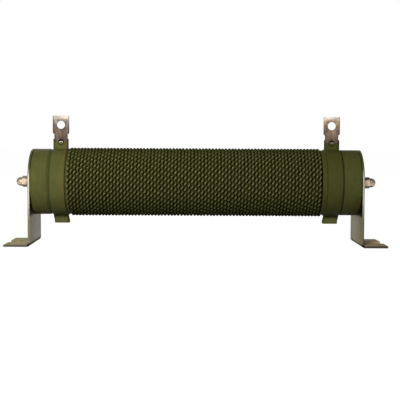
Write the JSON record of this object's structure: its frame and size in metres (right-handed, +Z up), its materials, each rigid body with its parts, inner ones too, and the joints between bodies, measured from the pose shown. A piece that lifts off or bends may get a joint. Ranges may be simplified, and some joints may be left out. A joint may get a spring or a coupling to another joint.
{
  "type": "braking resistor",
  "caption": "Wire-wound tubular braking resistor: crimped ribbon on a coated ceramic tube between two L brackets, with a terminal lug at each end.",
  "frame": {"origin": "on the floor plane of the two feet, below the middle of the tube", "axes": "X along the tube from the left bracket to the right, Y to the back, Z up; the flat faces of the lugs face -Y"},
  "size_m": [0.2922, 0.053, 0.0996],
  "materials": {
    "coated_ceramic": "satin",
    "coated_ribbon": "matte",
    "coated_strip": "satin",
    "tinned_brass": "satin",
    "zinc_plate": "satin",
    "nickel_plate": "gloss",
    "mica": "matte"
  },
  "bodies": {
    "root": {"ceramic_tube": "coated_ceramic", "resistance_winding": "coated_ribbon", "tie_rod": "nickel_plate", "left_band_front": "coated_strip", "left_band_back": "coated_strip", "left_terminal_lug": "tinned_brass", "left_lug_eyelet": "tinned_brass", "left_mica_washer": "mica", "left_centring_cup": "zinc_plate", "left_bracket": "zinc_plate", "left_flat_washer": "nickel_plate", "left_spring_washer": "nickel_plate", "left_lock_nut": "nickel_plate", "left_cap_nut": "nickel_plate", "right_band_front": "coated_strip", "right_band_back": "coated_strip", "right_terminal_lug": "tinned_brass", "right_lug_eyelet": "tinned_brass", "right_mica_washer": "mica", "right_centring_cup": "zinc_plate", "right_bracket": "zinc_plate", "right_flat_washer": "nickel_plate", "right_spring_washer": "nickel_plate", "right_lock_nut": "nickel_plate", "right_cap_nut": "nickel_plate"}
  },
  "joints": []
}
